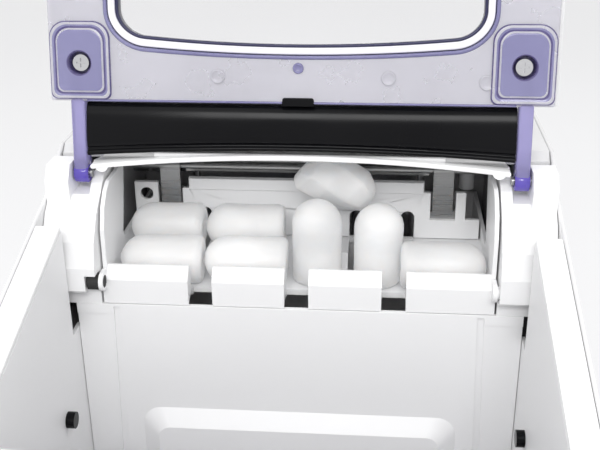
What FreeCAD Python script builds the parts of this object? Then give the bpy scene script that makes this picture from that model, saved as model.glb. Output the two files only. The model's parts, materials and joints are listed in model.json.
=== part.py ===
import FreeCAD, Part
import math
import os

V = FreeCAD.Vector
X_AXIS = V(1, 0, 0)
Y_AXIS = V(0, 1, 0)
Z_AXIS = V(0, 0, 1)

# Compact countertop bullet ice maker, in millimetres.
# +X is the user's right, +Y is towards the back, +Z is up, and Z = 0 is the floor under the feet.
# The lid stands open. It covers only the basket bay at the front; a fixed deck covers the back.

# ---- driving sizes ----
BODY_W = 242.0            # casing, outside
BODY_D = 350.0
DECK_H = 304.0            # top of the fixed rear deck above the floor
FOOT_H = 10.0
FOOT_R = 10.0
CORNER_R = 14.0           # upright corners of the casing
WALL = 2.0                # casing wall
LINER_T = 2.0             # moulded inner parts
FIT = 0.3                 # gap between fixed mouldings
RUN = 0.05                # radial gap of a running fit

LEDGE_D = 38.0            # depth of the control ledge at the front
REAR_D = 66.0             # machine space behind the ice chamber
CHAMBER_D = 112.0         # ice chamber, front to back
CHAMBER_H = 100.0         # chamber below the comb's crease
CHEEK_W = 25.0            # hinge blocks each side of the comb
MOUTH_H = 54.0            # deck top above the comb's crease
BAY_SIDE = 12.0           # from casing's inner face to the bay
PAN_T = 2.0
PAN_LIP = 12.0

GAP_COUNT = 3             # gaps between the comb's teeth
GAP_W = 11.5
INNER_TOOTH_W = 34.5
TOOTH_DROP = 12.4         # from the comb's crease down to the divider's ledge
TOOTH_RISE = 5.9          # sloping top of a tooth
TOOTH_LEAN = 4.9

LID_LEN = 158.0           # hinge to front edge
LID_LEAN = 11.0           # past upright when open, degrees
LID_SLOPE = 17.0          # fall towards the front when shut, degrees
HINGE_BACK = 20.0         # hinge behind the comb's face
HINGE_UP = 47.0           # hinge above the comb's crease
HINGE_PIN_R = 2.0
BARREL_R = 4.5
ARM_IN = 100.0            # inner face of the lid's arms, from the middle
ARM_W = 6.6
LINER_IN = -4.0           # lid's inner face, measured out from the hinge plane
COVER_IN = 12.2
COVER_T = 2.0
BEAM_FROM = 9.0           # black cross beam, along the lid from the hinge
BEAM_TO = 34.0
ARCH = 3.5                # crown of the beam and strip at the middle

FINGER_R = 3.0
FINGER_COUNT = 5          # front row; the back row has one fewer
FINGER_PITCH = 26.5
FINGER_ROWS = (82.0, 98.0)
RAIL_BACK = 64.0          # pusher's hinge line behind the comb's face
RAIL_UP = 35.0
PUSHER_T = 2.5
PUSHER_HALF = 90.0
SLOT_W = 7.0
TILT = 30.0               # tray tips this far back
PUSH_RATIO = 1.2          # pusher's swing for each degree of the tray

BULLET_R = 12.0
BULLET_LEN = 41.0

COMPRESSOR_R = 45.0
FAN_R = 50.0
PUMP_R = 17.0

BASKET_WALL = 2.0
BASKET_TOP_UNDER = 100.0  # basket's rim below the comb's crease
BUTTON_R = 6.5
BUTTON_TRAVEL = 1.2

# ---- places that follow ----
HALF_W = BODY_W / 2
HALF_D = BODY_D / 2
INNER = HALF_W - WALL
BACK_IN = HALF_D - WALL
PAN_TOP = FOOT_H + PAN_T
COMB_Z = DECK_H - MOUTH_H
CHAMBER_BACK = BACK_IN - REAR_D
COMB_Y = CHAMBER_BACK - CHAMBER_D - LINER_T
CHEEK_X = INNER - CHEEK_W
COMB_HALF = CHEEK_X - 1.0
BAY_HALF = INNER - BAY_SIDE
BAY_FRONT = -HALF_D + LEDGE_D + 4.0
HINGE_Y = COMB_Y + HINGE_BACK
HINGE_Z = COMB_Z + HINGE_UP
CHAMBER_FLOOR = COMB_Z - CHAMBER_H
TUB_FLOOR = PAN_TOP + 12.0
ARM_X = CHEEK_X + 6.0
LID_HALF = HALF_W - 3.0
SLOPE_TAN = math.tan(math.radians(LID_SLOPE))
RIM_DROP = 6.2            # bay rim below the shut lid's hinge plane


def rim_z(y):
    """Height of the sloping rim under the shut lid."""
    return HINGE_Z - RIM_DROP - (HINGE_Y - y) * SLOPE_TAN


# ---- helpers ----
def box(x0, x1, y0, y1, z0, z1):
    return Part.makeBox(x1 - x0, y1 - y0, z1 - z0, V(x0, y0, z0))


def rod(radius, start, axis, length):
    return Part.makeCylinder(radius, length, start, axis)


def ring(outer, inner, start, axis, length):
    return rod(outer, start, axis, length).cut(rod(inner, start, axis, length))


def face_of(points):
    return Part.Face(Part.makePolygon(points + [points[0]]))


def prism_x(points, x0, x1):
    """Outline in Y and Z, extruded along X."""
    return face_of([V(x0, y, z) for y, z in points]).extrude(V(x1 - x0, 0, 0))


def prism_y(points, y0, y1):
    """Outline in X and Z, extruded along Y."""
    return face_of([V(x, y0, z) for x, z in points]).extrude(V(0, y1 - y0, 0))


def edges_along(shape, axis, keep=None):
    found = []
    for edge in shape.Edges:
        if not isinstance(edge.Curve, Part.Line):
            continue
        if abs(edge.tangentAt(edge.FirstParameter).dot(axis)) < 0.999:
            continue
        if keep is None or keep(edge.CenterOfMass):
            found.append(edge)
    return found


def rounded(shape, radius, axis, keep=None):
    return shape.makeFillet(radius, edges_along(shape, axis, keep))


def mirrored(shape):
    return shape.mirror(V(0, 0, 0), X_AXIS)


def both(shape):
    return Part.makeCompound([shape, mirrored(shape)])


def fuse(shapes):
    whole = shapes[0]
    for other in shapes[1:]:
        whole = whole.fuse(other)
    return whole.removeSplitter()


def comb_prism(points, x0, x1):
    """Outline given from the comb's crease: back and up."""
    return prism_x([(COMB_Y + y, COMB_Z + z) for y, z in points], x0, x1)


def comb_box(x0, x1, y0, y1, z0, z1):
    return box(x0, x1, COMB_Y + y0, COMB_Y + y1, COMB_Z + z0, COMB_Z + z1)


def arch_band(half, low, high, y0, y1, crown):
    """Cross bar whose lower and upper edges rise by crown at the middle."""
    def edge(z):
        return Part.Arc(V(-half, y0, z), V(0, y0, z + crown), V(half, y0, z)).toShape()
    lower = edge(low)
    upper = edge(high)
    left = Part.makeLine(V(-half, y0, low), V(-half, y0, high))
    right = Part.makeLine(V(half, y0, low), V(half, y0, high))
    wire = Part.Wire(Part.__sortEdges__([lower, right, upper, left]))
    return Part.Face(wire).extrude(V(0, y1 - y0, 0))


# ---- casing ----
def outer_shell():
    """Wrap-round casing: open below, at the top and behind."""
    low = FOOT_H
    outside = rounded(box(-HALF_W, HALF_W, -HALF_D, HALF_D, low, DECK_H), CORNER_R, Z_AXIS)
    inside = box(-INNER, INNER, -HALF_D + WALL, BACK_IN, low, DECK_H)
    inside = rounded(inside, CORNER_R - WALL, Z_AXIS)
    shell = outside.cut(inside)
    front_z = panel_point(0, 0)[1]
    back_y = -HALF_D + LEDGE_D
    shut = COMB_Y - 10.0
    over = DECK_H + 20.0
    top = [(-HALF_D - 1, front_z), (-HALF_D, front_z), (back_y, rim_z(back_y)), (shut, rim_z(shut)),
           (HINGE_Y - 8.0, rim_z(HINGE_Y - 8.0)), (HINGE_Y + 22.0, DECK_H), (HINGE_Y + 22.0, over),
           (-HALF_D - 1, over)]
    shell = shell.cut(prism_x(top, -HALF_W - 1, HALF_W + 1))
    opening = box(-INNER + REAR_FRAME, INNER - REAR_FRAME, BACK_IN - 1, HALF_D + 1,
                  PAN_TOP + PAN_LIP, DECK_H - REAR_FRAME)
    shell = shell.cut(opening)
    spout = rod(DRAIN_CAP_R + 1.5, V(DRAIN_X, -HALF_D - 1, DRAIN_Z), Y_AXIS, WALL + 2)
    return shell.cut(spout)


REAR_FRAME = 18.0
DRAIN_X = 82.0
DRAIN_Z = TUB_FLOOR + 12.0
DRAIN_CAP_R = 11.0
DRAIN_BORE_R = 6.0


def base_pan():
    low = FOOT_H
    half = INNER - FIT
    back = BACK_IN - FIT
    outside = box(-half, half, -back, back, low, PAN_TOP + PAN_LIP - FIT)
    outside = rounded(outside, CORNER_R - WALL - FIT, Z_AXIS)
    inside = box(-half + PAN_T, half - PAN_T, -back + PAN_T, back - PAN_T, PAN_TOP, DECK_H)
    pan = outside.cut(rounded(inside, CORNER_R - WALL - FIT - PAN_T, Z_AXIS))
    for x, y in foot_places():
        pan = pan.cut(rod(FOOT_STEM_R, V(x, y, low - 1), Z_AXIS, PAN_T + 2))
    return pan


FOOT_STEM_R = 3.0


def foot_places():
    return [(sx * (HALF_W - 26.0), sy * (HALF_D - 28.0)) for sx in (-1, 1) for sy in (-1, 1)]


def feet():
    shapes = []
    for x, y in foot_places():
        pad = Part.makeCone(FOOT_R - 1.5, FOOT_R, FOOT_H, V(x, y, 0))
        shapes.append(pad.fuse(rod(FOOT_STEM_R, V(x, y, FOOT_H), Z_AXIS, PAN_T + 1.5)))
    return Part.makeCompound(shapes)


def rear_panel():
    """Louvred plate fixed inside the casing's rear frame."""
    half = INNER - REAR_FRAME + 5.0
    low = PAN_TOP + PAN_LIP
    high = DECK_H - REAR_FRAME + 3.0
    plate = box(-half, half, BACK_IN - WALL, BACK_IN, low, high)
    slots = []
    count = 11
    for i in range(count):
        z = FAN_Z + (i - (count - 1) / 2) * 9.0
        for side in (-1, 1):
            x = side * 34.0
            slots.append(box(x - 30.0, x + 30.0, BACK_IN - WALL - 1, BACK_IN + 1, z - 2.0, z + 2.0))
    plate = plate.cut(Part.makeCompound(slots))
    inlet = box(INLET_X - INLET_W / 2, INLET_X + INLET_W / 2, BACK_IN - WALL - 1, BACK_IN + 1,
                INLET_Z - INLET_H / 2, INLET_Z + INLET_H / 2)
    return plate.cut(inlet)


FAN_Z = 128.0
INLET_X = -86.0
INLET_Z = PAN_TOP + PAN_LIP + 22.0
INLET_W = 27.0
INLET_H = 20.0


def power_inlet():
    """Appliance inlet: flanged body with a socket and three blades."""
    y1 = BACK_IN + 0.5
    body = box(INLET_X - INLET_W / 2 + FIT, INLET_X + INLET_W / 2 - FIT, y1 - 20.0, y1,
               INLET_Z - INLET_H / 2 + FIT, INLET_Z + INLET_H / 2 - FIT)
    socket = box(INLET_X - 10.5, INLET_X + 10.5, y1 - 14.0, y1 + 1, INLET_Z - 6.5, INLET_Z + 6.5)
    body = body.cut(socket)
    blades = [box(INLET_X + x - 1.0, INLET_X + x + 1.0, y1 - 15.0, y1 - 6.5,
                  INLET_Z + z - 2.0, INLET_Z + z + 2.0) for x, z in ((-6.5, -1.5), (0, 1.5), (6.5, -1.5))]
    return fuse([body] + blades)


def rear_deck():
    """Fixed top cover; its front dips under the open lid and carries the mouth strip."""
    half = INNER - FIT
    back = BACK_IN - FIT
    edge = STRIP_HALF
    top = MOUTH_H
    end = back - COMB_Y
    t = 1.6
    valley = 48.6
    foot = [(35.5, valley), (39.0, valley), (39.0, valley + t), (35.5, valley + t)]
    middle = [(19.6, 55.9)] + foot + [(19.6, 57.5)]
    sides = [(19.6, 52.0)] + foot + [(19.6, 53.6)]
    flat = [(38.0, valley), (40.0, valley), (44.0, top - 2.5), (end, top - 2.5), (end, top), (43.0, top),
            (39.0, valley + t), (38.0, valley + t)]
    plate = rounded(comb_prism(flat, -half, half), CORNER_R - WALL - FIT, Z_AXIS,
                    lambda c: c.y > back - 1 and abs(c.x) > half - 1)
    skirt = box(-half, half, COMB_Y + 50.0, back, DECK_H - 11.0, DECK_H - 1.0)
    skirt = rounded(skirt, CORNER_R - WALL - FIT, Z_AXIS, lambda c: c.y > back - 1)
    hollow = box(-half + 2.0, half - 2.0, COMB_Y + 49.0, back - 2.0, DECK_H - 12.0, DECK_H)
    hollow = rounded(hollow, CORNER_R - WALL - FIT - 2.0, Z_AXIS, lambda c: c.y > back - 3)
    parts = [plate, skirt.cut(hollow), comb_prism(middle, -STEP_HALF, STEP_HALF)]
    parts += [comb_prism(sides, -edge, -STEP_HALF), comb_prism(sides, STEP_HALF, edge)]
    return fuse(parts)


STRIP_HALF = COMB_HALF + 4.4
STRIP_T = 2.2
STEP_HALF = 68.0


def mouth_strip():
    """Arched white bar along the deck's front edge, with rounded ends and a bump under each."""
    y0 = COMB_Y + 13.5
    y1 = COMB_Y + 19.5
    low = COMB_Z + 51.3
    bar = arch_band(STRIP_HALF, low, low + STRIP_T, y0, y1, ARCH + 1.0)
    bar = rounded(bar, 1.0, Y_AXIS, lambda c: abs(c.x) > STRIP_HALF - 0.5)
    bow = Part.Arc(V(-STRIP_HALF, y0, 0), V(0, y0 + 4.0, 0), V(STRIP_HALF, y0, 0)).toShape()
    chord = Part.makeLine(V(STRIP_HALF, y0, 0), V(-STRIP_HALF, y0, 0))
    hollow = Part.Face(Part.Wire([bow, chord])).extrude(V(0, 0, DECK_H + 40.0))
    bar = bar.cut(hollow)
    bump = rod(3.2, V(STRIP_HALF - 5.0, y0 + 0.6, low + 1.6), Y_AXIS, 4.0)
    bump = bump.common(box(0, HALF_W, y0, y1, low - 2.0, low + STRIP_T))
    return fuse([bar, bump, mirrored(bump)])


def bay_frame():
    """Sloping white rim round the basket bay, under the shut lid."""
    t = 2.5
    y0 = -HALF_D + LEDGE_D + 1.2
    y1 = COMB_Y - 9.5
    half = INNER - FIT
    rim = prism_x([(y0, rim_z(y0) - t), (y1, rim_z(y1) - t), (y1, rim_z(y1)), (y0, rim_z(y0))], -half, half)
    return rim.cut(box(-BAY_HALF, BAY_HALF, BAY_FRONT, COMB_Y, 0, DECK_H))


def bin_tub():
    """Moulded tub: basket bay above, water reservoir in the bottom."""
    half = BAY_HALF + LINER_T
    y0 = BAY_FRONT - LINER_T
    y1 = COMB_Y + 2.0 + LINER_T
    outside = rounded(box(-half, half, y0, y1, TUB_FLOOR - LINER_T, DECK_H), 12.0, Z_AXIS,
                      lambda c: c.y < 0 and c.y < y0 + 1)
    inside = rounded(box(-BAY_HALF, BAY_HALF, BAY_FRONT, COMB_Y + 2.0, TUB_FLOOR, DECK_H + 1), 10.0, Z_AXIS,
                     lambda c: c.y < BAY_FRONT + 1)
    t = 2.5 + 0.2
    over = DECK_H + 20.0
    end = COMB_Y - 9.0
    cut = [(y0 - 1, rim_z(y0 - 1) - t), (end, rim_z(end) - t), (end, COMB_Z - 26.0), (y1 + 1, COMB_Z - 26.0),
           (y1 + 1, over), (y0 - 1, over)]
    tub = outside.cut(inside).cut(prism_x(cut, -HALF_W, HALF_W))
    ledge_x = BAY_HALF - 9.0
    ledges = [box(side, side + 10.0, BAY_FRONT + 12.0, COMB_Y - 12.0, BASKET_FLOOR - 4.0, BASKET_FLOOR - FIT)
              for side in (-BAY_HALF - 1.0, ledge_x)]
    tub = fuse([tub] + ledges)
    return tub.cut(rod(DRAIN_BORE_R + 3.0 + RUN, V(DRAIN_X, y0 - 1, DRAIN_Z), Y_AXIS, LINER_T + 2))


BASKET_FLOOR = TUB_FLOOR + 46.0


def tub_feet():
    """Legs that stand the tub on the base pan."""
    legs = []
    for x in (-70.0, 70.0):
        for y in (BAY_FRONT + 20.0, COMB_Y - 20.0):
            legs.append(ring(8.0, 4.0, V(x, y, PAN_TOP), Z_AXIS, TUB_FLOOR - LINER_T - PAN_TOP))
    return Part.makeCompound(legs)


def insulation():
    """Foam jacket between tub and casing."""
    half = INNER - FIT
    inner = BAY_HALF + LINER_T + FIT
    y0 = -HALF_D + WALL + FIT
    y1 = COMB_Y - 2.0
    low = PAN_TOP + PAN_LIP + 2.0
    jacket = rounded(box(-half, half, y0, y1, low, COMB_Z - 62.0), CORNER_R - WALL - FIT, Z_AXIS,
                     lambda c: c.y < y0 + 1)
    core = rounded(box(-inner, inner, BAY_FRONT - LINER_T - FIT, y1 + 1, low - 1, COMB_Z), 12.0, Z_AXIS,
                   lambda c: c.y < BAY_FRONT)
    jacket = jacket.cut(core)
    return jacket.cut(rod(DRAIN_CAP_R + 2.0, V(DRAIN_X, y0 - 1, DRAIN_Z), Y_AXIS, LEDGE_D + 4))


def divider_panel():
    """Wall below the comb: proud centre field between two grooves, with a pillow-shaped bump."""
    half = BAY_HALF - FIT
    top = COMB_Z - TOOTH_DROP - 0.4
    y1 = COMB_Y + 2.0 - 0.1
    low = BASKET_FLOOR + 4.0
    panel = box(-half, half, COMB_Y - 0.6, y1, low, top)
    foot_x = GROOVE_X + (top - low) * GROOVE_SPREAD
    groove = [(GROOVE_X, top - 1.5), (GROOVE_X + GROOVE_W, top - 1.5), (foot_x + GROOVE_W, low - 1),
              (foot_x, low - 1)]
    groove = prism_y(groove, COMB_Y - 2, COMB_Y + 0.8)
    side = [(GROOVE_X + 1.0, top - 5.4), (half + 1, top - 5.4), (half + 1, low - 1), (foot_x + 1.0, low - 1)]
    side = prism_y(side, COMB_Y - 2, COMB_Y)
    for cutter in (groove, side):
        panel = panel.cut(cutter).cut(mirrored(cutter))
    bump = pillow_outline(0, COMB_Y - 0.3, 10.0)
    bump = Part.makeLoft([bump, pillow_outline(PILLOW_SLOPE, COMB_Y - 6.0, 6.0)], True, True)
    return fuse([panel, bump])


GROOVE_X = 85.4
GROOVE_W = 3.2
GROOVE_SPREAD = 0.03      # the grooves part a little towards the floor
PILLOW_HALF = 79.0
PILLOW_UNDER = 70.6
PILLOW_SLOPE = 9.0


def pillow_outline(inset, y, radius):
    """Rounded rectangle on the divider, for the pillow-shaped bump."""
    half = PILLOW_HALF - inset
    tall = box(-half, half, y, y + 1.0, COMB_Z - 136.0 + inset, COMB_Z - PILLOW_UNDER - inset)
    tall = rounded(tall, radius, Y_AXIS)
    return [f for f in tall.Faces if abs(f.CenterOfMass.y - y) < 0.01][0].OuterWire


def cheek_right():
    """Hinge block beside the comb: carries the tray's pivot below and the lid's pin above."""
    body = comb_prism([(-6.5, -3.9), (-7.5, -2.7), (-7.5, 9.0), (-4.0, 21.0), (4.0, 32.0), (13.0, 38.5),
                       (35.0, 38.5), (35.0, -3.9)], CHEEK_X, INNER - FIT)
    rear = comb_prism([(11.0, 36.0), (18.0, 42.5), (25.0, 46.0), (35.0, 46.0), (35.0, 36.0)],
                      CHEEK_X, ARM_X - 0.7)
    under = comb_box(CHEEK_X, INNER - FIT, -0.4, 4.2, -TOOTH_DROP - 0.3, -3.8)
    lug_x = ARM_X + ARM_W + 0.9
    lug = comb_prism([(9.0, 35.0), (9.0, 46.0), (14.0, 53.0), (26.0, 53.0), (31.0, 46.0), (31.0, 35.0)],
                     lug_x, INNER - FIT)
    body = fuse([body, rear, under, lug])
    body = body.cut(rod(HINGE_PIN_R + 0.02, V(lug_x - 1, HINGE_Y, HINGE_Z), X_AXIS, 8.0))
    pivot = V(CHEEK_X - 1, PIVOT_Y, PIVOT_Z)
    return body.cut(rod(PIVOT_PIN_R + RUN, pivot, X_AXIS, CHEEK_W + 2))


def cheek_left():
    """Mirror of the right block, notched round the tray's black idle pin."""
    body = mirrored(cheek_right())
    notch = comb_box(-CHEEK_X - BUSH_LEN - 0.6, -CHEEK_X + 1, -12.0, PIVOT_BACK, -5.0, 5.2)
    bore = rod(BUSH_R + 0.5, V(-CHEEK_X - BUSH_LEN - 0.6, PIVOT_Y, PIVOT_Z), X_AXIS, BUSH_LEN + 2)
    return body.cut(notch).cut(bore)


PIVOT_BACK = -2.5
PIVOT_Y = COMB_Y + PIVOT_BACK
PIVOT_Z = COMB_Z + 0.5
PIVOT_PIN_R = 3.0
BUSH_R = 4.1
BUSH_LEN = 4.6
LUG_T = 2.0               # tray's pivot lugs
LUG_R = 4.5


def lid_hinge_pins():
    x0 = ARM_X - 1.5
    pin = rod(HINGE_PIN_R, V(x0, HINGE_Y, HINGE_Z), X_AXIS, ARM_X + ARM_W + 0.9 + 6.5 - x0)
    return both(pin)


def chamber():
    """Open-fronted box behind the comb that catches the tipped water and returns it to the tub."""
    half = COMB_HALF + 4.0
    t = LINER_T
    y0 = COMB_Y + 36.0
    y1 = CHAMBER_BACK
    side = box(half, half + t, y0, y1, CHAMBER_FLOOR, COMB_Z + 42.0)
    low_side = box(half, half + t, COMB_Y + 4.5, y0, CHAMBER_FLOOR, COMB_Z - 5.0)
    back = box(-half - t, half + t, y1 - t, y1, CHAMBER_FLOOR, COMB_Z + 42.0)
    slope = [(COMB_Y + 4.5, CHAMBER_FLOOR - 4.0), (y1, CHAMBER_FLOOR), (y1, CHAMBER_FLOOR + t),
             (COMB_Y + 4.5, CHAMBER_FLOOR - 4.0 + t)]
    floor = prism_x(slope, -half - t, half + t)
    walls = fuse([side, low_side, mirrored(side), mirrored(low_side), back, floor])
    pipe_hole = rod(PIPE_R + FIT, V(-half - t - 1, PIPE_Y, PIPE_Z), X_AXIS, t + 2)
    hose_hole = rod(HOSE_R + FIT, V(half - 1, HOSE_Y, HOSE_Z), X_AXIS, t + 2)
    return walls.cut(pipe_hole).cut(hose_hole)


PIPE_R = 3.0
PIPE_Y = COMB_Y + (FINGER_ROWS[0] + FINGER_ROWS[1]) / 2
PIPE_Z = COMB_Z + 26.0
HOSE_R = 4.0
HOSE_Y = COMB_Y + 90.0
HOSE_Z = COMB_Z + 34.0


# ---- controls ----
PANEL_T = 2.5
PANEL_FALL = 20.0
PANEL_TOP_Z = rim_z(-HALF_D + LEDGE_D)
PANEL_LOW_Z = PANEL_TOP_Z - PANEL_FALL
PANEL_LEN = math.hypot(LEDGE_D, PANEL_FALL)
PANEL_TILT = math.degrees(math.atan2(PANEL_FALL, LEDGE_D))


def panel_point(along, out):
    """Point of the sloping control panel: distance up the slope and out of its face."""
    a = math.radians(PANEL_TILT)
    return (-HALF_D + along * math.cos(a) - out * math.sin(a),
            PANEL_LOW_Z + along * math.sin(a) + out * math.cos(a))


def on_panel(shape):
    """Moves a shape built flat, with its face at Z = 0 and its lower edge at Y = 0, to the panel."""
    placed = shape.copy()
    placed.rotate(V(0, 0, 0), X_AXIS, PANEL_TILT)
    placed.translate(V(0, -HALF_D, PANEL_LOW_Z))
    return placed


def panel_normal():
    a = math.radians(PANEL_TILT)
    return V(0, -math.sin(a), math.cos(a))


BUTTONS = {"power_button": -46.0, "size_button": 46.0}
BUTTON_ALONG = 21.0
WINDOW_HALF = 24.0
WINDOW_LEN = 16.0
LED_R = 1.8
LED_X = (-14.0, 0.0, 14.0)
STATUS_LED_X = 31.5


def control_panel():
    half = INNER - FIT
    plate = box(-half, half, 3.2, PANEL_LEN - 1.0, -PANEL_T, 0)
    plate = rounded(plate, CORNER_R, Z_AXIS, lambda c: c.y < 4)
    for x in BUTTONS.values():
        plate = plate.cut(rod(BUTTON_R + 0.2, V(x, BUTTON_ALONG, -PANEL_T - 1), Z_AXIS, PANEL_T + 2))
    window = box(-WINDOW_HALF - 0.2, WINDOW_HALF + 0.2, BUTTON_ALONG - WINDOW_LEN / 2 - 0.2,
                 BUTTON_ALONG + WINDOW_LEN / 2 + 0.2, -PANEL_T - 1, 1)
    plate = plate.cut(rounded(window, 3.2, Z_AXIS))
    plate = plate.cut(rod(LED_R + 0.1, V(STATUS_LED_X, BUTTON_ALONG, -PANEL_T - 1), Z_AXIS, PANEL_T + 2))
    return on_panel(plate)


def display_window():
    lens = rounded(box(-WINDOW_HALF, WINDOW_HALF, BUTTON_ALONG - WINDOW_LEN / 2,
                       BUTTON_ALONG + WINDOW_LEN / 2, -PANEL_T, 0.2), 3.0, Z_AXIS)
    return on_panel(lens)


def button(x):
    """Round key with a flange under the panel and a stem to its switch."""
    cap = rod(BUTTON_R, V(x, BUTTON_ALONG, -PANEL_T), Z_AXIS, PANEL_T + 1.6)
    flange = rod(BUTTON_R + 1.5, V(x, BUTTON_ALONG, -PANEL_T - 1.6), Z_AXIS, 1.5)
    neck = rod(BUTTON_R - 1.5, V(x, BUTTON_ALONG, -PANEL_T - 1.6), Z_AXIS, 3.0)
    return on_panel(fuse([cap, flange, neck]))


BOARD_DROP = 8.0


def control_board():
    """Circuit board with its switches, held under the panel by four posts."""
    top = -PANEL_T - BOARD_DROP
    board = box(-70.0, 70.0, 8.0, 35.0, top - 1.6, top)
    pieces = [board]
    for x in BUTTONS.values():
        pieces.append(box(x - 3.0, x + 3.0, BUTTON_ALONG - 3.0, BUTTON_ALONG + 3.0, top - 0.1,
                          top + BOARD_DROP - 1.6 - BUTTON_TRAVEL - 0.3))
    for x in (-66.0, 66.0):
        for y in (11.0, 32.0):
            pieces.append(rod(2.0, V(x, y, top - 0.1), Z_AXIS, BOARD_DROP + 0.1))
    return on_panel(fuse(pieces))


def indicator_lights():
    top = -PANEL_T - BOARD_DROP
    lights = [rod(LED_R, V(x, BUTTON_ALONG, top), Z_AXIS, BOARD_DROP - 0.4) for x in LED_X]
    lights.append(rod(LED_R, V(STATUS_LED_X, BUTTON_ALONG, top), Z_AXIS, BOARD_DROP + PANEL_T + 0.3))
    return on_panel(Part.makeCompound(lights))


# ---- ice chamber ----
def tray_teeth():
    """Teeth of the comb: sloping tops in front, roots joining the shelf behind."""
    outline = [(0, -TOOTH_DROP), (0, 0), (TOOTH_LEAN, TOOTH_RISE), (TOOTH_LEAN + 2.0, TOOTH_RISE - 0.4),
               (8.6, -5.5), (13.0, SHELF_Z), (14.0, SHELF_Z), (14.0, SHELF_Z - SHELF_T),
               (11.0, SHELF_Z - SHELF_T), (9.5, -8.2), (5.0, -9.6)]
    pitch = INNER_TOOTH_W + GAP_W
    first = -GAP_COUNT * pitch / 2 + pitch / 2
    edges = [-COMB_HALF]
    for i in range(GAP_COUNT):
        x = first + i * pitch
        edges += [x - GAP_W / 2, x + GAP_W / 2]
    edges.append(COMB_HALF)
    return [comb_prism(outline, edges[i], edges[i + 1]) for i in range(0, len(edges), 2)]


SHELF_Z = -9.5
SHELF_T = 3.0
STEP_Z = -1.9             # raised back half of the shelf
BASIN_FROM = 63.0
BASIN_LOW = -45.0
TRAY_WALL = 2.0


def water_tray():
    """Tipping tray: comb, shelf for the dropped ice, and the freezing basin behind."""
    half = COMB_HALF
    back = CHAMBER_D - 2.5
    w = TRAY_WALL
    shelf_line = [(13.9, SHELF_Z), (38.0, SHELF_Z), (41.0, STEP_Z), (BASIN_FROM, STEP_Z),
                  (BASIN_FROM, STEP_Z - SHELF_T), (43.0, STEP_Z - SHELF_T), (40.0, SHELF_Z - SHELF_T),
                  (13.9, SHELF_Z - SHELF_T)]
    shelf = comb_prism(shelf_line, -half, half)
    for x in finger_lines():
        shelf = shelf.cut(comb_box(x - SLOT_W / 2, x + SLOT_W / 2, 30.0, BASIN_FROM - w - 1.0, -20.0, 0))
    low = BASIN_LOW
    front = comb_box(-half, half, BASIN_FROM - w, BASIN_FROM, low, STEP_Z)
    floor = comb_box(-half, half, BASIN_FROM - w, back, low, low + w)
    rear = comb_box(-half, half, back - w, back, low, 6.0)
    side_line = [(2.0, -9.0), (3.2, TOOTH_RISE), (4.0, 24.0), (8.0, 34.0), (14.0, 40.0), (20.0, 43.0),
                 (47.0, 43.0), (43.0, 30.0), (36.0, 10.0), (38.0, TOOTH_RISE), (back, TOOTH_RISE), (back, low),
                 (BASIN_FROM - w, low), (BASIN_FROM - w, STEP_Z - SHELF_T), (43.0, STEP_Z - SHELF_T),
                 (40.0, SHELF_Z - SHELF_T), (11.0, SHELF_Z - SHELF_T), (9.5, -8.2)]
    side = comb_prism(side_line, half - w, half)
    lug = rod(LUG_R, V(half - LUG_T, PIVOT_Y, PIVOT_Z), X_AXIS, LUG_T)
    lug = lug.fuse(comb_box(half - LUG_T, half, PIVOT_BACK, 2.0, 0.5 - LUG_R, 0.5 + LUG_R))
    pieces = tray_teeth() + [shelf, front, floor, rear, side, mirrored(side), lug, mirrored(lug)]
    bore = rod(PIVOT_PIN_R, V(half - LUG_T, PIVOT_Y, PIVOT_Z), X_AXIS, LUG_T + 1)
    return fuse(pieces).cut(bore).cut(mirrored(bore))


def pivot_bush():
    """Black idle pin at the left end: plugged into the tray, turning in the cheek."""
    x0 = -COMB_HALF - 14.0
    pin = rod(PIVOT_PIN_R, V(x0, PIVOT_Y, PIVOT_Z), X_AXIS, 14.0 + LUG_T)
    collar = rod(BUSH_R, V(-CHEEK_X - BUSH_LEN, PIVOT_Y, PIVOT_Z), X_AXIS, BUSH_LEN + CHEEK_X - COMB_HALF)
    return pin.fuse(collar)


def drive_shaft():
    """Gear motor's output shaft, plugged into the tray's right end."""
    return rod(PIVOT_PIN_R, V(COMB_HALF - LUG_T, PIVOT_Y, PIVOT_Z), X_AXIS, LUG_T + 1.0 + CHEEK_W - 8.0)


def gear_motor():
    """Flat gear box and small motor beside the chamber, under the right cheek's shaft."""
    x0 = COMB_HALF + 4.0 + LINER_T + 0.5
    x1 = INNER - FIT - 0.5
    case = comb_box(x0, x1, 5.0, 50.0, -50.0, -6.0)
    case = rounded(case, 5.0, X_AXIS)
    can = rod(9.0, V(x0 + 9.2, COMB_Y + 50.0, COMB_Z - 28.0), Y_AXIS, 26.0)
    return case.fuse(can)


def hanger_rail():
    """Steel channel and hinge rod that the pusher hangs from, on two end brackets."""
    y = COMB_Y + RAIL_BACK
    z = COMB_Z + RAIL_UP
    half = COMB_HALF + 4.0
    shaft = rod(1.5, V(-half, y, z), X_AXIS, 2 * half)
    strip = box(-63.5, 63.5, y + 3.0, y + 4.2, z - 4.0, z + 3.5)
    ties = [box(x - 4.0, x + 4.0, y - 0.8, y + 3.2, z - 0.8, z + 0.8) for x in (-58.0, 0.0, 58.0)]
    return fuse([shaft, strip] + ties)


TONGUE_IN = 65.5
TONGUE_W = 10.5


def finger_lines():
    """X of each finger in the front row; the plate and the shelf are slotted there."""
    return [(i - (FINGER_COUNT - 1) / 2) * FINGER_PITCH for i in range(FINGER_COUNT)]


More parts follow.
